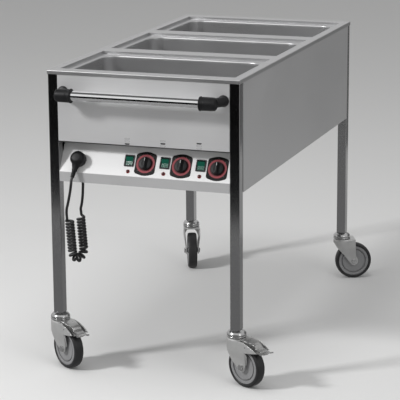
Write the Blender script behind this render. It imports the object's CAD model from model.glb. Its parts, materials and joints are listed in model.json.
"""Looks of the heated pan trolley: finishes, moulded and pressed parts, mains lead, camera and light.

Shapes are drawn in millimetres and placed in the metres of the frame. X is the width, +Y the rear, Z up.
"""

import json
import math

import bmesh
import bpy
from mathutils import Matrix, Vector


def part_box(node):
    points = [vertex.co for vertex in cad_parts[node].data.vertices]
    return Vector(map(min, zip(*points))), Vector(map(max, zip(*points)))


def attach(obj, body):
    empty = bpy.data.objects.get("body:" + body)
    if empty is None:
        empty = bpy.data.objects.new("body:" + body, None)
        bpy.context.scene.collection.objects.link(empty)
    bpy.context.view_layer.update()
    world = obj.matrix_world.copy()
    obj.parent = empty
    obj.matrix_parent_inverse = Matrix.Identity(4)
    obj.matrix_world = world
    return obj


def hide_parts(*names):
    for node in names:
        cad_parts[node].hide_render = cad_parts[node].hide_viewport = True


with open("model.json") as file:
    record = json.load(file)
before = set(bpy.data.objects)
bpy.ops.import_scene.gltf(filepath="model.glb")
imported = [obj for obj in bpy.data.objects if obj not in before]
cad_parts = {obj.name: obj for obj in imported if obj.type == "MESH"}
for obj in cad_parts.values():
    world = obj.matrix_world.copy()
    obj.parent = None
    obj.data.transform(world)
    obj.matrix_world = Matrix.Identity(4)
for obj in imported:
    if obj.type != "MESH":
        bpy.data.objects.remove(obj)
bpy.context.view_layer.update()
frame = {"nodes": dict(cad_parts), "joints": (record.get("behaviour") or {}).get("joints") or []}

MM = 0.001
JOINTS = {joint["name"]: joint for joint in frame["joints"]}
NODES = frame["nodes"]
CORNERS = ("front_left", "front_right", "rear_left", "rear_right")
SETS = ("left", "middle", "right")  # each well has its set of switch, dial and lamp


def mm(metres):
    """A length of the frame in millimetres, without its rounding noise."""
    return round(metres / MM, 3)


def joint_mm(name, axis):
    """One coordinate of a joint's place, in millimetres."""
    return mm(JOINTS[name]["pos_m"][axis])


def linked(name, data):
    """A new object with that data, in the scene."""
    obj = bpy.data.objects.new(name, data)
    bpy.context.scene.collection.objects.link(obj)
    return obj


def direction(azimuth, elevation):
    """Unit vector from the object to that azimuth and elevation, in degrees."""
    az = math.radians(azimuth)
    el = math.radians(elevation)
    return Vector((math.sin(az) * math.cos(el), -math.cos(az) * math.cos(el), math.sin(el)))


def look_from(obj, target, distance, way):
    """Puts a camera or lamp that far from the target, looking back at it."""
    obj.location = target + distance * way
    obj.rotation_mode = "QUATERNION"
    obj.rotation_quaternion = (-way).to_track_quat("-Z", "Y")


# ---- Camera: the photograph's view ----

CAMERA_TARGET = Vector((-0.0346, -0.0106, 0.3932))
CAMERA_DISTANCE = 5.903
CAMERA_AZIMUTH = 19.505
CAMERA_ELEVATION = 13.751
CAMERA_ROLL = -0.385
CAMERA_LENS = 165.22


def make_camera():
    """The photograph's camera."""
    camera = linked("camera", bpy.data.cameras.new("camera"))
    look_from(camera, CAMERA_TARGET, CAMERA_DISTANCE, direction(CAMERA_AZIMUTH, CAMERA_ELEVATION))
    roll = Matrix.Rotation(math.radians(CAMERA_ROLL), 4, "Z").to_quaternion()
    camera.rotation_quaternion = camera.rotation_quaternion @ roll
    camera.data.sensor_width = 36
    camera.data.lens = CAMERA_LENS
    camera.data.clip_end = 200
    bpy.context.scene.camera = camera


# ---- Materials ----

# Strokes of ground sheet, in noise waves for each metre along X, Y and Z
LEVEL = (6, 6, 2600)
LENGTHWISE = (2600, 6, 2600)
UPRIGHT = (2600, 2600, 6)
STROKE_DEPTH = 0.012
STEEL_METAL = 0.5  # ground sheet scatters much of its light
NOISE_SPAN = (0.3, 0.7)  # most of a noise's values

# Dark seam along the front panel's lower edge: its height, and where it has faded out
SEAM_H = 2.6
SEAM_FADE = 3.4
SEAM_BLACK = (0.035, 0.035, 0.036)

SLOPE_SPAN = (0.25, 0.4)  # upward part of a normal, from off the slope to on it
LENS_RIBS = 260.0


def shader(name, colour, rough, metal=0.0):
    """A material with its Principled node set, and its node tree."""
    mat = bpy.data.materials.new(name)
    mat.use_nodes = True
    bsdf = mat.node_tree.nodes["Principled BSDF"]
    bsdf.inputs["Base Color"].default_value = (*colour, 1)
    bsdf.inputs["Roughness"].default_value = rough
    bsdf.inputs["Metallic"].default_value = metal
    return mat, mat.node_tree, bsdf


def feed(tree, node, **inputs):
    """Sets or links a node's sockets, by name with _ for a space, or by number as in _0."""
    for key, value in inputs.items():
        socket = node.inputs[int(key[1:]) if key[1:].isdigit() else key.replace("_", " ")]
        if isinstance(value, bpy.types.NodeSocket):
            tree.links.new(value, socket)
        else:
            socket.default_value = value
    return node


def add(tree, kind, settings=(), **inputs):
    """A new node, with its properties in the settings and its sockets in the inputs."""
    made = tree.nodes.new(kind)
    for key, value in dict(settings).items():
        setattr(made, key, value)
    return feed(tree, made, **inputs)


def noise(tree, scale, detail=3.0, rough=0.5, stretch=(1, 1, 1)):
    """Noise in the piece's own coordinates, its waves stretched along each axis."""
    where = add(tree, "ShaderNodeTexCoord").outputs["Object"]
    spread = add(tree, "ShaderNodeMapping", Vector=where, Scale=stretch).outputs[0]
    made = add(tree, "ShaderNodeTexNoise", Vector=spread, Scale=scale, Detail=detail, Roughness=rough)
    return made.outputs["Fac"]


def map_range(tree, source, start, end, low=0.0, high=1.0):
    """Maps start to end onto low to high, and holds it beyond them."""
    made = add(tree, "ShaderNodeMapRange", Value=source, From_Min=start, From_Max=end, To_Min=low,
        To_Max=high)
    return made.outputs["Result"]


def ramp(tree, source, low, high):
    """Maps a noise onto low to high."""
    return map_range(tree, source, *NOISE_SPAN, low, high)


def mix_colour(tree, factor, a, b):
    """The colour a where the factor is 0, and b where it is 1."""
    a, b = (c if isinstance(c, bpy.types.NodeSocket) else (*c, 1) for c in (a, b))
    return add(tree, "ShaderNodeMix", {"data_type": "RGBA"}, _0=factor, _6=a, _7=b).outputs[2]


def product(tree, a, b):
    return add(tree, "ShaderNodeMath", {"operation": "MULTIPLY"}, _0=a, _1=b).outputs[0]


def part_of(tree, output, axis):
    """One part, X, Y or Z, of a texture coordinate."""
    where = add(tree, "ShaderNodeTexCoord").outputs[output]
    return add(tree, "ShaderNodeSeparateXYZ", _0=where).outputs[axis]


def darker(colour, share):
    return tuple(share * c for c in colour)


def bump(tree, bsdf, height, depth, edge=0.0):
    """Bumps of that depth in millimetres, over edges eased by that radius in millimetres."""
    made = add(tree, "ShaderNodeBump", Height=height, Distance=depth * MM, Strength=1.0)
    if edge:
        eased = add(tree, "ShaderNodeBevel", {"samples": 4}, Radius=edge * MM)
        feed(tree, made, Normal=eased.outputs[0])
    feed(tree, bsdf, Normal=made.outputs[0])


def lay_over(mat, part, colour):
    """Lays a colour over the material's own where the part is 1."""
    tree = mat.node_tree
    bsdf = tree.nodes["Principled BSDF"]
    own = bsdf.inputs["Base Color"].links[0].from_socket
    feed(tree, bsdf, Base_Color=mix_colour(tree, part, own, colour))


def brushed(name, colour, rough, grain, metal=1.0, spread=0.05):
    """Ground sheet metal: long strokes in its tone and roughness, under wide soft clouds."""
    mat, tree, bsdf = shader(name, colour, rough, metal)
    strokes = noise(tree, 1.0, 4.0, 0.6, grain)
    clouds = noise(tree, 5.0, 2.0)
    tone = product(tree, ramp(tree, strokes, 0.93, 1.0), ramp(tree, clouds, 0.97, 1.0))
    haze = ramp(tree, strokes, rough - spread / 2, rough + spread / 2)
    smear = ramp(tree, clouds, 0.94, 1.08)
    feed(tree, bsdf, Base_Color=mix_colour(tree, tone, darker(colour, 0.55), colour),
        Roughness=product(tree, haze, smear))
    bump(tree, bsdf, strokes, STROKE_DEPTH, edge=0.7)
    return mat


def plated(name, colour, rough, metal=1.0, grain=420.0, depth=0.02, contrast=0.1):
    """Plated or cast metal with a fine mottle, in wider patches."""
    mat, tree, bsdf = shader(name, colour, rough, metal)
    mottle = noise(tree, grain, 4.0, 0.6)
    patches = noise(tree, grain / 9, 2.0)
    tone = product(tree, ramp(tree, mottle, 1 - contrast, 1.0), ramp(tree, patches, 1 - contrast, 1.0))
    feed(tree, bsdf, Base_Color=mix_colour(tree, tone, darker(colour, 0.3), colour),
        Roughness=ramp(tree, patches, 0.88 * rough, 1.12 * rough))
    bump(tree, bsdf, mottle, depth, edge=0.6)
    return mat


def moulded(name, colour, rough, grain=900.0, depth=0.03, edge=0.5, wear=0.25, shine=0.3):
    """Plastic or rubber with a fine moulded texture and slightly uneven colour."""
    mat, tree, bsdf = shader(name, colour, rough)
    texture = noise(tree, grain, 3.0, 0.55)
    patches = noise(tree, grain / 25)
    light = tuple(min((1 + wear) * c, 1) for c in colour)
    feed(tree, bsdf, Specular_IOR_Level=shine,
        Base_Color=mix_colour(tree, ramp(tree, patches, 0.0, 1.0), darker(colour, 1 - wear), light),
        Roughness=ramp(tree, patches, 0.9 * rough, 1.1 * rough))
    bump(tree, bsdf, texture, depth, edge)
    return mat


def ink(name, colour, wear=0.1):
    """Satin print on a panel or a dial."""
    return moulded(name, colour, 0.5, depth=0.01, edge=0.0, wear=wear)


def lens(name, colour, pale):
    """Glossy coloured plastic, finely ribbed, and paler along its ribs."""
    mat, tree, bsdf = shader(name, colour, 0.18)
    where = add(tree, "ShaderNodeTexCoord").outputs["Object"]
    ribs = add(tree, "ShaderNodeTexWave", {"bands_direction": "X"}, Vector=where, Scale=LENS_RIBS,
        Distortion=0.4).outputs["Fac"]
    feed(tree, bsdf, Coat_Weight=0.15, Coat_Roughness=0.08,
        Base_Color=mix_colour(tree, ramp(tree, ribs, 0.0, 1.0), colour, pale))
    bump(tree, bsdf, ribs, 0.05, edge=0.4)
    return mat


def hemmed_steel(name, colour, edge_z):
    """Ground sheet with a dark seam along its lower edge, at that height in metres."""
    mat = brushed(name, colour, 0.44, LEVEL, STEEL_METAL)
    tree = mat.node_tree
    height = part_of(tree, "Object", "Z")
    lay_over(mat, map_range(tree, height, edge_z + SEAM_FADE * MM, edge_z + SEAM_H * MM), SEAM_BLACK)
    return mat


def filmed_steel(name, steel_colour, film_colour):
    """Ground steel whose slope, which faces up and forward, carries a pale satin film."""
    mat = brushed(name, steel_colour, 0.46, LEVEL, STEEL_METAL)
    tree = mat.node_tree
    on_slope = map_range(tree, part_of(tree, "Normal", "Z"), *SLOPE_SPAN)
    fleck = ramp(tree, noise(tree, 260.0, 4.0, 0.6), 0.96, 1.0)
    lay_over(mat, on_slope, mix_colour(tree, fleck, darker(film_colour, 0.6), film_colour))
    feed(tree, tree.nodes["Principled BSDF"], Metallic=map_range(tree, on_slope, 0.0, 1.0, STEEL_METAL, 0.0))
    return mat


satin = brushed("satin steel", (0.60, 0.60, 0.605), 0.46, LEVEL, metal=0.7)
panel_steel = hemmed_steel("panel steel", (0.67, 0.67, 0.675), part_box("front_panel")[0].z)
deck_steel = brushed("deck steel", (0.52, 0.52, 0.525), 0.40, LENGTHWISE, metal=0.92)
fascia_steel = filmed_steel("fascia steel", (0.60, 0.60, 0.605), (0.74, 0.74, 0.74))
leg_steel = brushed("leg steel", (0.36, 0.36, 0.365), 0.16, UPRIGHT, spread=0.03)
well_steel = brushed("well steel", (0.58, 0.58, 0.585), 0.30, LENGTHWISE, metal=0.92)
cover_steel = brushed("cover steel", (0.45, 0.45, 0.455), 0.5, LENGTHWISE)
chrome = plated("chrome", (0.88, 0.885, 0.89), 0.07, grain=90.0, depth=0.0, contrast=0.02)
zinc = plated("zinc plate", (0.58, 0.58, 0.575), 0.36, metal=0.6)
pedal_zinc = plated("pedal zinc", (0.46, 0.46, 0.455), 0.28, metal=0.85)
cup_zinc = plated("bright zinc", (0.52, 0.52, 0.52), 0.17, depth=0.008)
bolt_steel = plated("bolt steel", (0.62, 0.62, 0.62), 0.25, depth=0.008)
black_plastic = moulded("black plastic", (0.012, 0.012, 0.013), 0.42, shine=0.18)
black_gloss = moulded("black gloss", (0.009, 0.009, 0.010), 0.25, depth=0.01)
plate_black = moulded("dial black", (0.010, 0.009, 0.009), 0.42, depth=0.01, shine=0.12)
dial_red = ink("dial red", (0.27, 0.042, 0.053), 0.15)
dial_dark_red = ink("dial dark red", (0.085, 0.008, 0.012), 0.15)
print_white = ink("print white", (0.62, 0.61, 0.60))
print_grey = ink("print grey", (0.02, 0.02, 0.021))
print_pale = ink("print pale", (0.20, 0.20, 0.20))
green_lens = lens("green lens", (0.003, 0.055, 0.036), (0.010, 0.125, 0.078))
lamp_centre = lens("lamp centre", (0.022, 0.002, 0.002), (0.05, 0.004, 0.004))
lamp_rim = lens("lamp rim", (0.20, 0.008, 0.008), (0.34, 0.015, 0.014))
core_grey = moulded("grey polypropylene", (0.25, 0.25, 0.255), 0.42, wear=0.06, shine=0.5)
tyre_rubber = moulded("tyre rubber", (0.020, 0.020, 0.021), 0.5, depth=0.06, wear=0.2, shine=0.4)
cord_rubber = moulded("cord rubber", (0.013, 0.013, 0.014), 0.34, depth=0.02, edge=0.0, shine=0.5)
plug_rubber = moulded("plug rubber", (0.010, 0.010, 0.011), 0.42, grain=1400.0, depth=0.04, shine=0.18)
brass = plated("brass", (0.72, 0.50, 0.20), 0.3)
ivory = moulded("ivory plastic", (0.62, 0.56, 0.42), 0.45, wear=0.08)
fittings = plated("sheet fittings", (0.50, 0.49, 0.46), 0.45)


# ---- Shapes ----

WELD = 0.01  # points nearer than this become one
SLIVER = 0.005  # edges shorter than this go


class Form:
    """Points and faces of one piece, in millimetres, gathered from shells."""

    def __init__(self):
        self.verts = []
        self.faces = []
        self.marks = []

    def add(self, shell, place=Matrix(), mark=0):
        """Adds a shell at a place in millimetres. The mark picks its material."""
        start = len(self.verts)
        self.verts += [place @ Vector(v) for v in shell[0]]
        self.faces += [[start + i for i in face] for face in shell[1]]
        self.marks += [mark] * len(shell[1])
        return self

    def make(self, name, body, materials, slot, place=Matrix(), sharp=32, clean=True):
        """The piece, smooth but for edges sharper than that angle."""
        mesh = bpy.data.meshes.new(name)
        scale = place @ Matrix.Scale(MM, 4)
        mesh.from_pydata([scale @ v for v in self.verts], [], self.faces)
        mesh.polygons.foreach_set("material_index", self.marks)
        if clean:
            bm = bmesh.new()
            bm.from_mesh(mesh)
            bmesh.ops.remove_doubles(bm, verts=bm.verts, dist=WELD * MM)
            bmesh.ops.dissolve_degenerate(bm, edges=bm.edges, dist=SLIVER * MM)
            bmesh.ops.recalc_face_normals(bm, faces=bm.faces)
            bm.to_mesh(mesh)
            bm.free()
        mesh.shade_smooth()
        mesh.set_sharp_from_angle(angle=math.radians(sharp))
        for material in materials:
            mesh.materials.append(material)
        obj = linked(name, mesh)
        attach(obj, body)
        return obj


def shift(x=0.0, y=0.0, z=0.0):
    """A move, in millimetres."""
    return Matrix.Translation((x, y, z))


def turn(axis, degrees):
    return Matrix.Rotation(math.radians(degrees), 4, axis)


def angles(count):
    """Evenly spread angles of a whole turn, in radians."""
    return [2 * math.pi * k / count for k in range(count)]


def ripple(count, a):
    """Wave between 0 and 1 that comes that many times in a whole turn."""
    return 0.5 + 0.5 * math.cos(count * a)


def skin(rings, capped=True, looped=False):
    """Faces over a row of rings with the same number of points."""
    count = len(rings[0])
    verts = [p for ring in rings for p in ring]
    faces = []
    for i in range(len(rings) if looped else len(rings) - 1):
        a = i * count
        b = (i + 1) % len(rings) * count
        for k in range(count):
            m = (k + 1) % count
            faces.append((a + k, a + m, b + m, b + k))
    if capped and not looped:
        faces.append(tuple(range(count))[::-1])
        faces.append(tuple(range(len(verts) - count, len(verts))))
    return verts, faces


def lathe(profile, steps=64, flute=None):
    """Solid turned about Z from points (radius, height). One that leaves the axis free is a ring."""
    rings = []
    for r, h in profile:
        ring = []
        for a in angles(steps):
            reach = r + (flute(a, r, h) if flute else 0.0)
            ring.append((reach * math.cos(a), reach * math.sin(a), h))
        rings.append(ring)
    on_axis = profile[0][0] == 0 and profile[-1][0] == 0
    return skin(rings, capped=False, looped=not on_axis)


def rounded(corners, closed=False, segments=4):
    """Points of an outline whose corners (x, y, radius) are rounded."""
    points = []
    count = len(corners)
    for i, (x, y, radius) in enumerate(corners):
        p = Vector((x, y))
        if radius == 0 or (not closed and i in (0, count - 1)):
            points.append(p)
            continue
        back = Vector(corners[i - 1][:2]) - p
        ahead = Vector(corners[(i + 1) % count][:2]) - p
        half = back.angle(ahead) / 2
        reach = min(radius / math.tan(half), 0.49 * back.length, 0.49 * ahead.length)
        radius = reach * math.tan(half)
        centre = p + (back.normalized() + ahead.normalized()).normalized() * radius / math.sin(half)
        start = p + back.normalized() * reach - centre
        end = p + ahead.normalized() * reach - centre
        for k in range(segments + 1):
            points.append(centre + start.lerp(end, k / segments).normalized() * radius)
    return points


def turned(corners, steps=64, flute=None, closed=False, segments=4):
    """Solid turned about Z from corners (radius, height, rounding)."""
    return lathe(rounded(corners, closed, segments), steps, flute)


def mirrored(half):
    """Corners of a closed profile, from the half of it above its middle."""
    return half + [(r, -h, rounding) for r, h, rounding in reversed(half)]


def rectangle(x0, y0, x1, y1, radius):
    """Outline of a rectangle with round corners."""
    return rounded([(x0, y0, radius), (x1, y0, radius), (x1, y1, radius), (x0, y1, radius)], True)


def at_heights(outline, low, high):
    """The outline at each of two heights."""
    return [[(p[0], p[1], z) for p in outline] for z in (low, high)]


def prism(outline, low, high):
    """Straight solid over an outline of X and Y, from one height to another."""
    return skin(at_heights(outline, low, high))


def ring_band(outer, inner, low, high):
    """Flat ring about Z."""
    return lathe([(inner, low), (outer, low), (outer, high), (inner, high)], 96)


def smooth_step(a, b, x):
    """0 at a and 1 at b, with an eased way between."""
    t = min(max((x - a) / (b - a), 0.0), 1.0)
    return t * t * (3 - 2 * t)


def along(points, x):
    """Height of a polyline of (x, y) at x."""
    for (x0, y0), (x1, y1) in zip(points, points[1:]):
        if x <= x1:
            return y0 + (y1 - y0) * max(x - x0, 0) / (x1 - x0)
    return points[-1][1]


def fused(obj, voxel, passes):
    """Runs overlapping shells into one moulding with eased corners."""
    melt = obj.modifiers.new("fuse", "REMESH")
    melt.mode = "VOXEL"
    melt.voxel_size = voxel * MM
    melt.use_smooth_shade = True
    ease = obj.modifiers.new("ease", "SMOOTH")
    ease.factor = 0.5
    ease.iterations = passes
    return obj


def thickened(obj, thickness):
    """Gives a sheet its thickness, inwards from its outer face."""
    thick = obj.modifiers.new("sheet", "SOLIDIFY")
    thick.thickness = thickness * MM
    thick.offset = -1
    thick.use_even_offset = True


# ---- Places, from the frame ----

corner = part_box("control_fascia")[0] / MM  # lower left front corner of the fascia
dial_axis = Vector(JOINTS["knob_turn_middle"]["axis"])
fascia_angle = math.degrees(math.atan2(dial_axis.y, -dial_axis.z))
FASCIA_LIP = 29  # height of the upright lip under the slope's fold
# Distances up the slope from the fold
DIAL_V = 41
LAMP_V = 14.5


def on_fascia(u, v):
    """Place on the fascia's slope, in millimetres: u from the middle, v up from the fold."""
    fold = shift(u, corner.y, corner.z + FASCIA_LIP)
    return fold @ turn("X", fascia_angle) @ shift(0, v, 0)


def in_metres(place):
    """The same place for a shape that is scaled to metres at the end."""
    made = place.copy()
    made.translation = place.translation * MM
    return made


def at_castor(corner_name):
    """A castor's frame: its swivel axis upright through the origin, and X back to the wheel."""
    pivot = Vector(JOINTS[f"swivel_{corner_name}"]["pos_m"])
    axis = JOINTS[f"spin_{corner_name}"]["axis"]
    heading = math.atan2(-axis[0], axis[1])
    return Matrix.Translation((pivot.x, pivot.y, 0)) @ Matrix.Rotation(heading, 4, "Z")


# ---- Mains lead ----

# Places on the lead are taken from the fascia's lower left front corner
CORD_D = 8
CURL_D = 28
CURL_TURNS = 26
CURL_PITCH = 9
CURL_START = Vector((33.5, -13.5, -99))
CURL_FACING = math.radians(70)  # of the far limb, seen from the near one
CURL_LEAN = math.radians(4.3)
LIMB_GAP = 48  # between the two limbs' axes
BEND_TURNS = 5  # in the half circle that joins the limbs
LEAD_RISE = 14  # along the axis, where a straight end starts to bend into the curls
LEAD_STEPS = 6
END_TURN = 30 / 360  # past the whole turns
RINGS_PER_CURL = 24
PLUG_X = 57.5
PLUG_V = 38  # up the slope
PLUG_TURN = 7.6
BOOT_H = 14  # axis of the boot above the fascia
NECK_END = 38  # from the plug's axis, as is the boot's end
BOOT_END = 58.7
GLAND = Vector((55.5, 43.5, -10))
# Places that the two tails pass, going down
PLUG_RUN = ((49, -30, 0), (47.3, -32, -17), (44, -31.3, -33), (40, -29.5, -48), (35.5, -27, -63),
    (31, -24.3, -77))
GLAND_RUN = ((55, 42.9, -31), (54.2, 42.8, -46), (52.6, 42.4, -62), (50.3, 42, -77))


def curl_points():
    """Centreline of the curls: a helix round a U of two straight limbs and a half circle."""
    up = Vector((-math.sin(CURL_LEAN), 0, math.cos(CURL_LEAN)))
    side = Vector((math.cos(CURL_FACING), math.sin(CURL_FACING), 0))
    side = (side - side.dot(up) * up).normalized()
    front = up.cross(side)
    ring = (CURL_D - CORD_D) / 2
    bend_r = LIMB_GAP / 2
    bend_l = math.pi * bend_r
    lead_bend = (CURL_PITCH / 2 - LEAD_RISE) / 2
    lead_l = LEAD_RISE + lead_bend
    main_turns = CURL_TURNS - 0.5 + END_TURN
    limb_turns = (main_turns - BEND_TURNS) / 2
    limb_l = CORD_D + lead_l + limb_turns * CURL_PITCH
    curl_l = 2 * limb_l + bend_l

    def wire(s, angle):
        """Point at that angle round the axis, s along it."""
        bend = min(max((s - limb_l) / bend_l, 0), 1) * math.pi
        out = -math.cos(bend) * side - math.sin(bend) * up
        middle = CURL_START + bend_r * side - limb_l * up
        if s < limb_l:
            axis = CURL_START - s * up
        elif s < limb_l + bend_l:
            axis = middle + bend_r * out
        else:
            axis = middle + bend_r * side + (s - limb_l - bend_l) * up
        angle = math.radians(angle)
        return axis + ring * (math.cos(angle) * out + math.sin(angle) * front)

    def advance(n):
        """Way along the axis after n turns."""
        if n < limb_turns:
            return n * CURL_PITCH
        if n < limb_turns + BEND_TURNS:
            return limb_turns * CURL_PITCH + (n - limb_turns) * bend_l / BEND_TURNS
        return bend_l + (n - BEND_TURNS) * CURL_PITCH

    def lead(t):
        """Way along the axis in the bend after a straight end."""
        return LEAD_RISE * t + lead_bend * t * t

    lead_steps = [k / LEAD_STEPS for k in range(LEAD_STEPS)]
    steps = int(main_turns * RINGS_PER_CURL)
    end = 180 + 360 * main_turns
    points = [wire(0, 0)]
    points += [wire(CORD_D + lead(t), 90 * t * t) for t in lead_steps]
    for k in range(steps + 1):
        n = k * main_turns / steps
        points.append(wire(CORD_D + lead_l + advance(n), 90 + 360 * n))
    points += [wire(curl_l - CORD_D - lead(t), end - 90 * t * t) for t in reversed(lead_steps)]
    points.append(wire(curl_l, end))
    return points, up


def flowing(points, steps=6):
    """Catmull-Rom curve through points."""
    ends = [2 * points[0] - points[1], *points, 2 * points[-1] - points[-2]]
    made = []
    for a, b, c, d in zip(ends, ends[1:], ends[2:], ends[3:]):
        for k in range(steps):
            t = k / steps
            made.append(0.5 * (2 * b + (c - a) * t + (2 * a - 5 * b + 4 * c - d) * t * t
                + (3 * b - a - 3 * c + d) * t ** 3))
    return made + [points[-1]]


def plug_place():
    return on_fascia(corner.x + PLUG_X, PLUG_V) @ turn("Z", -PLUG_TURN)


def lead_route():
    """The whole cord from the gland to the plug's boot, in metres."""
    curl, up = curl_points()
    place = plug_place()
    boot_tip = place @ Vector((0, -BOOT_END, BOOT_H)) - corner
    boot_way = (place.to_3x3() @ Vector((0, -1, 0))).normalized()
    gland_run = [GLAND, GLAND - Vector((0, 0, CORD_D)), *map(Vector, GLAND_RUN),
        curl[-1] + CORD_D * up, curl[-1]]
    plug_run = [curl[0], curl[0] + CORD_D * up, *map(Vector, reversed(PLUG_RUN)),
        boot_tip + CORD_D * boot_way, boot_tip]
    route = flowing(gland_run) + curl[-2:0:-1] + flowing(plug_run)
    return [(corner + p) * MM for p in route]


def make_lead(plug_pieces):
    """The mains lead as one round cord along its route."""
    route = lead_route()
    data = bpy.data.curves.new("mains_lead", "CURVE")
    data.dimensions = "3D"
    data.bevel_depth = CORD_D / 2 * MM
    data.bevel_resolution = 4
    data.use_fill_caps = True
    line = data.splines.new("POLY")
    line.points.add(len(route) - 1)
    for point, p in zip(line.points, route):
        point.co = (*p, 1)
    line.use_smooth = True
    data.materials.append(cord_rubber)
    obj = linked("mains_lead", data)
    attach(obj, "root")
    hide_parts("cord_plug_tail", "cord_curl", "cord_gland_tail")


PLUG_D = 45
PLUG_H = 32
SOCKET_T = 2.5  # flange of the socket, under the plug
NECK_START = 4  # from the plug's axis
NECK_STEPS = 12
BOOT_RIBS = 5
BOOT_R = 7.2
BOOT_TAPER = 1.5
BOOT_CORE_R = 5.0


def plug_body():
    """Round body with a raised face ring."""
    r = PLUG_D / 2
    return turned([(0, SOCKET_T, 0), (r - 1, SOCKET_T, 0.8), (r, SOCKET_T + 3, 1.2),
        (r - 0.3, PLUG_H - 11, 6), (r - 3.5, PLUG_H - 4, 7), (r - 11, PLUG_H - 0.6, 9), (0, PLUG_H, 0)])


def plug_neck():
    """Oval neck that narrows from the body to the boot."""
    rings = []
    for i in range(NECK_STEPS + 1):
        k = i / NECK_STEPS
        y = -NECK_START - k * (NECK_END - NECK_START)
        half_w = 19.5 - 11.2 * smooth_step(-0.1, 0.95, k)
        half_h = 13.2 - 5.4 * smooth_step(0, 1, k)
        centre = BOOT_H + 1.6 * (1 - k)
        rings.append([(half_w * math.cos(a), y, centre + half_h * math.sin(a)) for a in angles(40)])
    return skin(rings)


def plug_boot():
    """Tapered strain relief with ribs and grooves in turn."""
    length = BOOT_END - NECK_END
    rib = length / BOOT_RIBS
    profile = [(0, 0, 0)]
    for k in range(BOOT_RIBS):
        start = k * rib
        outer = BOOT_R - BOOT_TAPER * k / BOOT_RIBS
        profile += [(outer, start, 0.5), (outer - 0.2, start + 0.58 * rib, 0.5),
            (BOOT_CORE_R, start + 0.62 * rib, 0.2), (BOOT_CORE_R, start + 0.97 * rib, 0.2)]
    return turned(profile[:-2] + [(BOOT_CORE_R + 0.3, length, 0.6), (0, length, 0)])


def make_plug():
    """Moulded plug with its strain relief. Gives the pieces on the lead's end."""
    place = in_metres(plug_place())
    form = Form().add(plug_body()).add(plug_neck())
    body = fused(form.make("moulded_plug", "root", [plug_rubber], "black_plastic", place), 0.7, 6)
    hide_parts("plug")
    form = Form().add(plug_boot(), shift(0, -NECK_END, BOOT_H) @ turn("X", 90))
    boot = form.make("plug_strain_relief", "root", [plug_rubber], "black_plastic", place)
    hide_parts("plug_boot")
    return [body, boot, NODES["plug_pins"]]


# ---- Handle ----

TUBE_D = 28
SLEEVE_R = 20.2
SLEEVE_L = 49.5
SLEEVE_OVER = 12  # by which its mouth passes the end of the frame's bracket
SLEEVE_BORE = 8  # depth left open for the tube
NECK_R = 15.2
NECK_WAIST = 1.2
NECK_RIBS = 16
NECK_RIB_H = 0.45
FLANGE_D = 34
FLANGE_T = 5


def groove(radius, start):
    """Groove round a sleeve, from that distance on."""
    return [(radius, start, 0.5), (radius - 0.8, start + 0.6, 0.3), (radius - 0.8, start + 1.6, 0.3),
        (radius, start + 2.2, 0.5)]


def bracket_sleeve():
    """Sleeve over the tube's end, with a lip and two grooves near its mouth."""
    r = SLEEVE_R
    bore = TUBE_D / 2 + 0.1
    return turned([(bore, SLEEVE_BORE, 0), (bore, 0.4, 0.6), (r + 0.7, 0, 1.2), (r + 1, 3.4, 1.0),
        (r - 0.4, 4.4, 0.8), *groove(r - 0.4, 7.2), *groove(r - 0.5, 11.8), (r - 0.9, 36, 20),
        (r - 1.8, SLEEVE_L, 7), (0, SLEEVE_L, 0), (0, SLEEVE_BORE, 0)])


def bracket_neck(start, end):
    """Ribbed neck that swings from the sleeve back to the panel."""
    rings = []
    for i in range(NECK_STEPS + 1):
        t = i / NECK_STEPS
        radius = NECK_R - NECK_WAIST * math.sin(math.pi * t)
        x = start.x + (end.x - start.x) * smooth_step(0, 1, t)
        middle = Vector((x, start.y + (end.y - start.y) * t, start.z))
        ribbed = NECK_RIB_H * smooth_step(0.3, 0.5, t) * smooth_step(1, 0.85, t)
        ring = []
        for a in angles(64):
            reach = radius - ribbed * ripple(NECK_RIBS, a)
            ring.append(middle + Vector((reach * math.cos(a), 0, reach * math.sin(a))))
        rings.append(ring)
    return skin(rings)


def bracket_flange():
    """Round flange against the panel."""
    r = FLANGE_D / 2
    return turned([(0, 0, 0), (r - 0.6, 0, 1.4), (r, FLANGE_T - 1, 0.8), (r, FLANGE_T, 0.2),
        (0, FLANGE_T, 0)])


def make_bracket(side):
    """Moulded end bracket: lipped sleeve, neck and flange run into one."""
    name = f"handle_bracket_{side}"
    sign = -1 if side == "left" else 1
    low, high = (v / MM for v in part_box(name))
    tube_low, tube_high = (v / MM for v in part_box("handle_tube"))
    tube_y = (tube_low.y + tube_high.y) / 2
    tube_z = (tube_low.z + tube_high.z) / 2
    mouth = (high.x if sign < 0 else low.x) - sign * SLEEVE_OVER
    foot_x = (low.x if sign < 0 else high.x) - sign * FLANGE_D / 2
    flange_y = corner.y - FLANGE_T
    elbow = Vector((mouth + sign * (SLEEVE_L - NECK_R - 0.5), tube_y, tube_z))
    form = Form().add(bracket_sleeve(), shift(mouth, tube_y, tube_z) @ turn("Y", sign * 90))
    form.add(bracket_neck(elbow, Vector((foot_x, flange_y, tube_z))))
    form.add(bracket_flange(), shift(foot_x, flange_y, tube_z) @ turn("X", -90))
    obj = fused(form.make(f"moulded_bracket_{side}", "root", [black_plastic], "black_plastic"), 0.6, 3)
    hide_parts(name)


# ---- Controls ----

# Heights over the fascia's slope
KNOB_BASE = 1.1
KNOB_RIM = 7.1
KNOB_TOP = 14.9
KNOB_R = 19.4
KNOB_FLUTES = 30
FLUTE_DEPTH = 0.35


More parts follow.
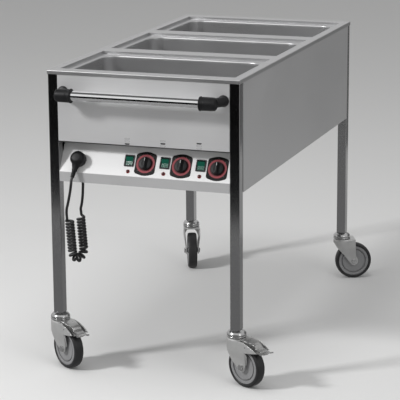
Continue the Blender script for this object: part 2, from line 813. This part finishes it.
def knob_skirt():
    """Low round skirt, knurled round its rim."""
    def knurl(a, radius, h):
        return -FLUTE_DEPTH * ripple(KNOB_FLUTES, a) if radius > KNOB_R - 1.5 else 0.0

    r = KNOB_R
    return turned([(0, KNOB_BASE, 0), (r - 0.6, KNOB_BASE, 0.5), (r, KNOB_BASE + 1, 0.5),
        (r - 0.2, KNOB_RIM - 1, 1.0), (r - 2, KNOB_RIM, 0.8), (11, KNOB_RIM + 0.5, 2),
        (0, KNOB_RIM + 0.3, 0)], 240, knurl)


def knob_grip():
    """Waisted bar across the skirt, eased at its top."""
    rings = []
    for h, half_w, half_l in ((KNOB_RIM - 1, 5.6, 18.4), (KNOB_RIM + 1, 5.0, 18.2),
            (KNOB_TOP - 2.2, 4.2, 17.6), (KNOB_TOP - 0.7, 3.7, 17.0), (KNOB_TOP, 2.7, 16.0)):
        waist = half_w * 0.8
        outline = rounded([(-half_w, -half_l, 2.6), (half_w, -half_l, 2.6), (waist, 0, 40),
            (half_w, half_l, 2.6), (-half_w, half_l, 2.6), (-waist, 0, 40)], True, 5)
        rings.append([(p.x, p.y, h) for p in outline])
    return skin(rings)


def make_knob(which):
    """Knob with a knurled skirt, a waisted grip and a pointer line."""
    u = joint_mm(f"knob_turn_{which}", 0)
    form = Form().add(knob_skirt()).add(knob_grip())
    form.add(prism(rectangle(-0.6, 6, 0.6, 15, 0.3), KNOB_TOP - 0.5, KNOB_TOP + 0.12), mark=1)
    obj = form.make(f"dressed_knob_{which}", f"knob_{which}", [black_plastic, print_white],
        "black_plastic", in_metres(on_fascia(u, DIAL_V)), sharp=40)
    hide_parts(f"knob_{which}")


DIAL_HALF_W = 31.5
DIAL_PEAK = 38.7  # from the middle to an arched end, before it is rounded
DIAL_ARCH = 9.7  # rise of that end over the straight sides
DIAL_FACE = 0.75  # height of the printed face above the fascia
RING_R = 28.2
RING_DARK_R = 22.6
RING_IN_R = 19.6
TICK_R = 29
TICKS = 13
TICK_GAP = (60, 119)  # no ticks between these angles to either side
DIAL_SWEEP = 270


def make_dial(which):
    """Dial plate with straight sides and arched ends, and its printed ring and ticks."""
    u = joint_mm(f"knob_turn_{which}", 0)
    w = DIAL_HALF_W
    h = DIAL_PEAK - DIAL_ARCH
    outline = rounded([(-w, -h, 9), (0, -DIAL_PEAK, 60), (w, -h, 9), (w, h, 9), (0, DIAL_PEAK, 60),
        (-w, h, 9)], True, 10)
    eased = [p * 0.991 for p in outline]
    printed = DIAL_FACE - 0.1
    form = Form().add(skin([[(p.x, p.y, z) for p in line] for line, z in
        ((outline, 0.02), (outline, DIAL_FACE - 0.25), (eased, DIAL_FACE))]))
    form.add(ring_band(RING_R, RING_DARK_R, printed, DIAL_FACE + 0.1), mark=1)
    form.add(ring_band(RING_DARK_R, RING_IN_R, printed, DIAL_FACE + 0.07), mark=2)
    for k in range(TICKS):
        a = DIAL_SWEEP * (k / (TICKS - 1) - 0.5)
        if abs(a) < TICK_GAP[0] or abs(a) > TICK_GAP[1]:
            end = TICK_R + (2.6 if k % 2 == 0 else 1.7)
            tick = prism([(-0.3, TICK_R), (0.3, TICK_R), (0.3, end), (-0.3, end)], printed, DIAL_FACE + 0.05)
            form.add(tick, turn("Z", a), 3)
    return form.make(f"dial_plate_{which}", "root", [plate_black, dial_red, dial_dark_red, print_pale],
        "dial_print", in_metres(on_fascia(u, DIAL_V)), clean=False)


def make_pilot_lamp(which):
    """Lamp under a switch: a bright rim round a faceted lens."""
    def facets(a, radius, h):
        return 0.14 * math.cos(12 * a) if 1.5 < radius < 4.2 else 0.0

    u = joint_mm(f"rocker_press_{which}", 0)
    form = Form().add(turned([(0, -16, 0), (4.3, -16, 0.4), (4.3, 0.2, 0), (5.7, 0, 0.2), (5.7, 1.1, 0.6),
        (4.4, 1.9, 0.4), (4.2, 1.1, 0), (0, 1.1, 0)]), mark=1)
    form.add(turned([(0, 0.6, 0), (4.3, 0.6, 0), (4.2, 1.7, 0.5), (3.2, 2.6, 0.8), (1.6, 3.1, 0.8),
        (0, 3.2, 0)], 96, facets))
    return form.make(f"pilot_lamp_{which}", "root", [lamp_centre, lamp_rim], "red_lens",
        in_metres(on_fascia(u, LAMP_V)))


# ---- Castors, each in its own frame: X, here s, runs back from the swivel axis ----

CROWN_Z = joint_mm("swivel_front_left", 2)  # top of a fork's crown
AXLE_Z = joint_mm("spin_front_left", 2)
LEG_FOOT = mm(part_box("leg_front_left")[0].z)
BRAKE_Z = joint_mm("brake_front_left", 2)
# Distances of the axle and the brake's hinge from the swivel axis
TRAIL = 41
BRAKE_S = 62
FORK_R = 29  # half the width over a fork's sides, and the radius of its front
WAIST_R = 23  # half its width at the axle
WAIST_SPAN = (112, 80)  # heights between which its sides draw in
FORK_T = 2.8
FORK_FILLET = 5.0  # round the crown's edge, down to 1 at its end
FILLET_FROM = 14  # where it starts to get smaller
# Round end of a side, about the axle: its radius, and where it starts and ends
EYE_R = 14
EYE_FROM = 27.5
EYE_TO = 54.9
ARCH_SOFTNESS = 6.0
WALL_ROWS = 12
FILLET_ROWS = 5
PLUG_HALF = 12.9  # half the side of the square plug in the leg
SIDE_STATIONS = (0, 4, 8, 12, 16, 20, 24, 27, 29, 31, 34, 38, 41, 44, 48, 51, 53, 54.4)

# Edges of a fork's side as heights over s. "low" leads down to the axle, "rear" up behind it
BRAKED_FORK = {
    "low": ((0, 78), (28, 56.5)),
    "rear": ((EYE_TO, AXLE_Z), (57.2, 72), (58, 108), (58.2, 110.5), (70, 112.2), (80, 113.8), (92, 116),
        (105, 118.8)),
    "top": ((0, CROWN_Z), (34, CROWN_Z), (42, 141.4), (50, 140.4), (59, 138.6), (68, 136.2), (77, 133.2),
        (86, 129.8), (96, 125.2), (105, 119.6)),
    "arch": 124,  # height of the opening over the wheel at the front
    "rise": 0.85,  # of the lower edge for each degree round the front
    "crown_end": 34,
    "tail": (EYE_TO, 56.2, 57.2, 57.8, 58.2, 62, 66, 70, 75, 80, 86, 92, 98, 102, 105),
}
PLAIN_FORK = {
    "low": ((0, 92), (3, 89.5), (19, 67.5), (28, 56.5)),
    "top": ((0, CROWN_Z), (46, CROWN_Z), (46.6, 85.5), (55, AXLE_Z + 4)),
    "arch": 128,
    "rise": 0.52,
    "crown_end": 46,
    "tail": (),
}


def make_cup(corner_name):
    """Domed cup, race and leg plug of a castor, about the swivel axis."""
    z = CROWN_Z
    dome = turned([(0, z + 0.3, 0), (26.5, z + 0.3, 1), (29.4, z + 2, 2), (29.4, z + 5.2, 2),
        (27, z + 6.5, 0.4), (27, z + 7.7, 0.4), (28.8, z + 8.1, 0.5), (28.7, z + 11.5, 4),
        (25.2, z + 17.6, 6), (19, z + 21, 4), (17.2, LEG_FOOT - 0.4, 0.8), (15.6, LEG_FOOT, 0.3),
        (0, LEG_FOOT, 0)], 96, segments=5)
    pin_end = turned([(0, z - 6.3, 0), (10.5, z - 6.3, 0.8), (11, z - 3.3, 0.5), (6, z - 3.2, 0),
        (6, z + 1, 0), (0, z + 1, 0)], 48)
    square = rectangle(-PLUG_HALF, -PLUG_HALF, PLUG_HALF, PLUG_HALF, 1)
    leg_plug = prism(square, LEG_FOOT - 1, LEG_FOOT + 39)
    form = Form().add(dome).add(pin_end, mark=1).add(leg_plug, mark=1)
    upright = Matrix.Translation(at_castor(corner_name).translation)
    return form.make(f"castor_cup_{corner_name}", "root", [cup_zinc, zinc], "zinc", upright, sharp=28)


def smooth_min(a, b):
    """The lower of two heights, with a soft bend where they meet."""
    h = max(ARCH_SOFTNESS - abs(a - b), 0.0) / ARCH_SOFTNESS
    return min(a, b) - h * h * ARCH_SOFTNESS / 4


def fork_low(fork, s, a):
    """Height of the lower edge: round the front, down to the axle's eye, and up behind it."""
    if a < 90:
        return smooth_min(fork["low"][0][1] + fork["rise"] * (90 - a), fork["arch"])
    if s < EYE_FROM:
        return along(fork["low"], s)
    if s <= EYE_TO:
        return AXLE_Z - math.sqrt(max(EYE_R ** 2 - (s - TRAIL) ** 2, 0.0))
    return along(fork["rear"], s)


def fork_line(fork, s, y, a):
    """Points of the sheet at one place: up its wall, round the fillet, and in over the crown."""
    low = fork_low(fork, s, a)
    crowned = s <= fork["crown_end"]
    shrunk = (FORK_FILLET - 1) * smooth_step(FILLET_FROM, fork["crown_end"], s)
    fillet = FORK_FILLET - shrunk if crowned else 0.0
    high = max(along(fork["top"], s) - fillet, low + 0.6)
    line = []
    for k in range(WALL_ROWS + 1):
        z = low + (high - low) * k / WALL_ROWS
        waist = 1 - (1 - WAIST_R / FORK_R) * smooth_step(*WAIST_SPAN, z)
        line.append((s, y * waist, z))
    if crowned:
        way = Vector((s if a < 90 else 0.0, y)).normalized()
        for k in range(1, FILLET_ROWS + 1):
            t = math.radians(90 * k / FILLET_ROWS)
            inset = fillet * (1 - math.cos(t))
            line.append((s - way.x * inset, y - way.y * inset, high + fillet * math.sin(t)))
        end_s, end_y, end_z = line[-1]
        line += [(end_s, end_y * share, end_z) for share in (0.66, 0.33, 0.0)]
    return line


def fork_sheet(fork):
    """Sheet carried round the front and back along both sides, with a crown."""
    columns = [(-FORK_R * math.cos(math.radians(a)), FORK_R * math.sin(math.radians(a)), a)
        for a in range(0, 90, 10)]
    columns += [(s, FORK_R, 90) for s in (*SIDE_STATIONS, *fork["tail"])]
    lines = [fork_line(fork, *column) for column in columns]
    verts = []
    faces = []
    for sign in (1, -1):
        starts = []
        for line in lines:
            starts.append(len(verts))
            verts += [(s, sign * y, z) for s, y, z in line]
        for (i, line), (j, after) in zip(zip(starts, lines), zip(starts[1:], lines[1:])):
            for k in range(min(len(line), len(after)) - 1):
                faces.append((i + k, j + k, j + k + 1, i + k + 1))
    return verts, faces


def make_fork(corner_name):
    """Pressed fork of sheet with softened edges."""
    fork = BRAKED_FORK if corner_name.startswith("front") else PLAIN_FORK
    obj = Form().add(fork_sheet(fork)).make(f"pressed_fork_{corner_name}", f"castor_{corner_name}",
        [zinc], "zinc", at_castor(corner_name), sharp=40)
    thickened(obj, FORK_T)
    ease = obj.modifiers.new("edges", "BEVEL")
    ease.width = 0.6 * MM
    ease.segments = 2
    ease.limit_method = "ANGLE"
    ease.angle_limit = math.radians(50)
    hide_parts(f"fork_{corner_name}")


# Halves of the wheel's profiles, as (radius, distance from the middle plane, rounding)
CORE_HALF = [(5.05, 19.5, 0), (8.6, 19.5, 0.8), (9.4, 13.5, 1.5), (12, 12.2, 2), (22, 11.4, 12),
    (37, 12.2, 3), (38.6, 12.0, 0.5), (39.3, 8.2, 0.4), (42.3, 8.2, 0.4), (43.0, 13.4, 0.7), (48, 14.0, 4),
    (51.6, 13.6, 0.8), (52.0, 10.5, 0.3)]
TYRE_HALF = [(51.8, 10.4, 0), (52.2, 13.0, 0.4), (54.4, 15.2, 0.9), (58.6, 15.2, 3), (61.6, 12.0, 3.5),
    (62.5, 5, 12)]


def make_wheel(corner_name):
    """Polypropylene core with its ring groove and hub, and the tyre round it."""
    place = at_castor(corner_name) @ in_metres(shift(TRAIL, 0, AXLE_Z) @ turn("X", 90))
    body = f"wheel_{corner_name}"
    core = Form().add(turned(mirrored(CORE_HALF), 96, closed=True)).make(f"wheel_disc_{corner_name}",
        body, [core_grey], "grey_core", place, sharp=30)
    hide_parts(f"wheel_core_{corner_name}")
    tyre = Form().add(turned(mirrored(TYRE_HALF), 128, closed=True, segments=5)).make(
        f"rubber_tyre_{corner_name}", body, [tyre_rubber], "tyre_rubber", place, sharp=35)
    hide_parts(f"tyre_{corner_name}")


# Brake pedal: the middle of its top as heights over s, and its grip ridges
PEDAL_TOP = ((36, 145.2), (50, 144.4), (66, 142.6), (78, 139.8), (86, 136.6), (89.5, 134.6), (92.5, 128.4),
    (96, 127), (112, 123.4), (118, 121.6), (127, 121.2), (137, 124.6))
PEDAL_RIDGES = (82.5, 88, 98.5)
RIDGE_H = 1.7
RIDGE_W = 1.6
PEDAL_T = 2.2
PEDAL_ROWS = 96
PEDAL_COLUMNS = 24
PEDAL_CROWN = 1.2  # rise of the hood's middle over its edges
BEND_RISE = 0.27  # of it that is left where the sides' bend starts
# Shares: of the columns on the hood's top, of the half width before the bend, of a side's columns in it
TOP_COLUMNS = 0.68
TOP_WIDTH = 0.88
BEND_COLUMNS = 0.4


def pedal_half_width(s):
    return 21 - 6 * smooth_step(48, 84, s) - 2.5 * smooth_step(118, 137, s)


def pedal_skirt(s):
    """Depth of the pedal's turned-down sides."""
    return 3 + 13 * smooth_step(38, 62, s) - 11 * smooth_step(88, 112, s) - 2.6 * smooth_step(112, 132, s)


def pedal_point(s, t):
    """Point of the hood at s, with t from -1 to 1 across it from edge to edge."""
    base = along(PEDAL_TOP, s)
    w = pedal_half_width(s)
    if abs(t) < TOP_COLUMNS:
        y = w * t / TOP_COLUMNS * TOP_WIDTH
        ridges = sum(RIDGE_H * math.exp(-((s - centre) / RIDGE_W) ** 2) for centre in PEDAL_RIDGES)
        lift = ridges * (1 - smooth_step(0.55, 0.8, abs(y) / w))
        return (s, y, base + lift + PEDAL_CROWN * (1 - (y / w) ** 2))
    k = (abs(t) - TOP_COLUMNS) / (1 - TOP_COLUMNS)
    a = min(k / BEND_COLUMNS, 1.0) * math.pi / 2
    bend_r = (1 - TOP_WIDTH) * w
    drop = bend_r * (1 - math.cos(a)) + pedal_skirt(s) * max(k - BEND_COLUMNS, 0.0) / (1 - BEND_COLUMNS)
    y = w * TOP_WIDTH + bend_r * math.sin(a)
    return (s, math.copysign(y, t), base + BEND_RISE - drop)


def pedal_hood():
    """Sheet of the pedal's hood, with turned-down sides, grip ridges and an upturned tip."""
    start, end = PEDAL_TOP[0][0], PEDAL_TOP[-1][0]
    verts = []
    for i in range(PEDAL_ROWS + 1):
        s = start + (end - start) * i / PEDAL_ROWS
        verts += [pedal_point(s, 2 * j / PEDAL_COLUMNS - 1) for j in range(PEDAL_COLUMNS + 1)]
    faces = []
    for i in range(PEDAL_ROWS):
        for j in range(PEDAL_COLUMNS):
            a = i * (PEDAL_COLUMNS + 1) + j
            faces.append((a, a + 1, a + PEDAL_COLUMNS + 2, a + PEDAL_COLUMNS + 1))
    return verts, faces


def make_pedal(corner_name):
    """Brake pedal's hood, and under it the hinge pin, the shoe above the tyre and a tongue."""
    body = f"brake_{corner_name}"
    obj = Form().add(pedal_hood()).make(f"brake_pedal_{corner_name}", body, [pedal_zinc], "zinc",
        at_castor(corner_name), sharp=50)
    thickened(obj, PEDAL_T)
    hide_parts(f"pedal_{corner_name}")

    pin = turned([(0, -29, 0), (2.9, -29, 0.6), (2.9, 29, 0.6), (0, 29, 0)], 32)
    shoe = rounded([(68, 123, 1), (84, 114.5, 1), (84, 136, 1), (68, 139, 1)], True)
    tongue = rounded([(93, 125, 1), (113, 121, 1), (111, 112.5, 2), (106, 109, 3), (98, 112, 2)], True)
    form = Form().add(pin, shift(BRAKE_S, 0, BRAKE_Z) @ turn("X", 90))
    form.add(prism(shoe, -12, 12), turn("X", 90))
    form.add(prism(tongue, -9, 9), turn("X", 90))
    form.make(f"brake_pin_{corner_name}", body, [bolt_steel], "zinc", at_castor(corner_name))


# ---- Print on the front panel ----

SYMBOL_AHEAD = 2.5  # from a switch's middle to its symbol's
SYMBOL_RISE = 6.5  # from the panel's lower edge to the lowest bar's middle
BAR_STEP = 7.45
PRINT_LIFT = 0.06
PRINT_HALF = 0.05


def make_symbols():
    """Three well symbols: stacked bars, of which one is filled."""
    form = Form()
    outer = rounded([(-6.4, -2.2, 1.6), (6.4, -2.2, 1.6), (8.2, 2.0, 0.6), (-8.2, 2.0, 0.6)], True)
    inner = rounded([(-5.9, -1.6, 1.4), (5.9, -1.6, 1.4), (7.4, 1.4, 0.4), (-7.4, 1.4, 0.4)], True)
    filled = prism(outer, -PRINT_HALF, PRINT_HALF)
    hollow = skin(at_heights(outer, -PRINT_HALF, PRINT_HALF) + at_heights(inner, PRINT_HALF, -PRINT_HALF),
        looped=True)
    low = mm(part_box("front_panel")[0].z) + SYMBOL_RISE
    for k, which in enumerate(SETS):
        u = joint_mm(f"rocker_press_{which}", 0) + SYMBOL_AHEAD
        for bar in range(3):
            place = shift(u, corner.y - PRINT_LIFT, low + BAR_STEP * bar) @ turn("X", 90)
            form.add(filled if bar == k else hollow, place, int(bar != k))
    form.make("well_symbols", "root", [print_grey, print_pale], "dial_print", clean=False)


# ---- Finishes of the frame's own pieces ----

# By node, or by the start of its name
FINISH = {
    "top_deck": deck_steel, "well_": well_steel, "front_panel": panel_steel, "rear_panel": satin,
    "left_panel": satin, "right_panel": satin, "control_fascia": fascia_steel,
    "bottom_cover": cover_steel, "leg_": leg_steel, "handle_tube": chrome,
    "handle_screws": bolt_steel, "switch_housings": black_gloss, "rocker_": green_lens,
    "dial_plates": plate_black, "thermostats": fittings, "heaters": fittings,
    "drain_outlets": bolt_steel, "terminal_block": ivory, "parking_socket": black_gloss,
    "plug_pins": brass, "cable_gland": black_plastic, "axle_": bolt_steel, "pilot_lamps": lamp_rim,
    "castor_stems": zinc, "fork_": zinc, "wheel_core_": core_grey, "tyre_": tyre_rubber,
    "pedal_": zinc, "knob_": black_plastic, "handle_bracket_": black_plastic, "plug": plug_rubber,
    "cord_": cord_rubber,
}


def finish_nodes():
    """Gives each node of the frame the finish whose key fits its name best."""
    for name, obj in NODES.items():
        key = max((key for key in FINISH if name.startswith(key)), key=len)
        obj.data.materials.clear()
        obj.data.materials.append(FINISH[key])


# ---- Stage and light, in metres and watts ----

LAMP_TARGET = Vector((0, 0, 0.5))
FLOOR_HALF = 60
# Cards that the chrome and the polished legs mirror
CARD_LEFT = -3.4
CARD_RIGHT = 1.8
CARD_FRONT = -2.25
CARD_SPLIT = 1.3  # height where the dark card ends and the pale one starts
CARD_TOP = 4.2
CARD_FOOT = 0.02
# Strength of the world: for light on the object, and where it is seen or mirrored
WORLD_LIGHT = 0.35
WORLD_SEEN = 0.68


def area_light(name, azimuth, elevation, distance, size, power):
    """Square softbox that looks at the object from that direction."""
    data = bpy.data.lights.new(name, "AREA")
    data.shape = "RECTANGLE"
    data.size = size
    data.size_y = size
    data.energy = power
    look_from(linked(name, data), LAMP_TARGET, distance, direction(azimuth, elevation))


def staged(name, corners, material):
    """Flat piece of the stage over four corners."""
    mesh = bpy.data.meshes.new(name)
    mesh.from_pydata(corners, [], [(0, 1, 2, 3)])
    mesh.materials.append(material)
    obj = linked(name, mesh)
    return obj


def level_corners(x0, y0, x1, y1, z):
    """Corners of a level rectangle."""
    return [(x0, y0, z), (x1, y0, z), (x1, y1, z), (x0, y1, z)]


def upright_corners(start, end, low, high):
    """Corners of an upright rectangle over a line on the floor."""
    return [(*start, low), (*end, low), (*end, high), (*start, high)]


def card(name, corners, level):
    """Grey card that only reflections see, as a photographer stands one beside polished metal."""
    mat = bpy.data.materials.new(name)
    mat.use_nodes = True
    tree = mat.node_tree
    tree.nodes.clear()
    glow = add(tree, "ShaderNodeEmission", Color=(1, 1, 1, 1), Strength=level)
    add(tree, "ShaderNodeOutputMaterial", Surface=glow.outputs[0])
    made = staged(name, corners, mat)
    for rays in ("camera", "diffuse", "shadow", "transmission", "volume_scatter"):
        setattr(made, f"visible_{rays}", False)


def make_cards():
    """The cards, each at its own level of grey."""
    front = ((CARD_LEFT, CARD_FRONT), (CARD_RIGHT, CARD_FRONT))
    card("card_front_dark", upright_corners(*front, CARD_FOOT, CARD_SPLIT), 0.005)
    card("card_front_pale", upright_corners(*front, CARD_SPLIT, CARD_TOP), 0.78)
    card("card_rear_right", upright_corners((0.5, 2.7), (3.4, 1.7), CARD_FOOT, 1.7), 0.17)
    card("card_above", level_corners(CARD_LEFT, CARD_FRONT, CARD_RIGHT, 1.5, CARD_TOP), 0.12)
    card("card_floor", level_corners(CARD_LEFT, -2.2, CARD_RIGHT, 1.0, 0.003), 0.3)


def make_world():
    """Even light from all round, stronger where it is seen or mirrored."""
    world = bpy.data.worlds.new("studio")
    bpy.context.scene.world = world
    world.use_nodes = True
    tree = world.node_tree
    tree.nodes.clear()
    rays = add(tree, "ShaderNodeLightPath")
    seen = rays.outputs["Is Camera Ray"]
    for kind in ("Is Glossy Ray", "Is Transmission Ray"):
        either = add(tree, "ShaderNodeMath", {"operation": "MAXIMUM"}, _0=seen, _1=rays.outputs[kind])
        seen = either.outputs[0]
    strength = map_range(tree, seen, 0.0, 1.0, WORLD_LIGHT, WORLD_SEEN)
    glow = add(tree, "ShaderNodeBackground", Color=(1, 1, 1, 1), Strength=strength)
    add(tree, "ShaderNodeOutputWorld", Surface=glow.outputs[0])


def make_stage():
    """Pale floor, cards, world and lamps."""
    floor = shader("studio floor", (0.80, 0.80, 0.795), 0.85)[0]
    staged("studio_floor", level_corners(-FLOOR_HALF, -FLOOR_HALF, FLOOR_HALF, FLOOR_HALF, 0), floor)
    make_cards()
    make_world()
    area_light("key", -43, 31, 6.0, 0.8, 200)
    area_light("top", 10, 78, 4.5, 2.5, 60)
    area_light("fill", 55, 22, 6.0, 2.0, 35)


# ---- Making ----

make_camera()
make_lead(make_plug())
finish_nodes()
for side in ("left", "right"):
    make_bracket(side)
for which in SETS:
    make_knob(which)
dials = [make_dial(which) for which in SETS]
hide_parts("dial_plates")
lamps = [make_pilot_lamp(which) for which in SETS]
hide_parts("pilot_lamps")
for corner_name in CORNERS:
    make_fork(corner_name)
    make_wheel(corner_name)
cups = [make_cup(corner_name) for corner_name in CORNERS]
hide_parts("castor_stems")
for corner_name in CORNERS[:2]:
    make_pedal(corner_name)
make_symbols()
make_stage()
bpy.context.scene.view_settings.view_transform = "Standard"
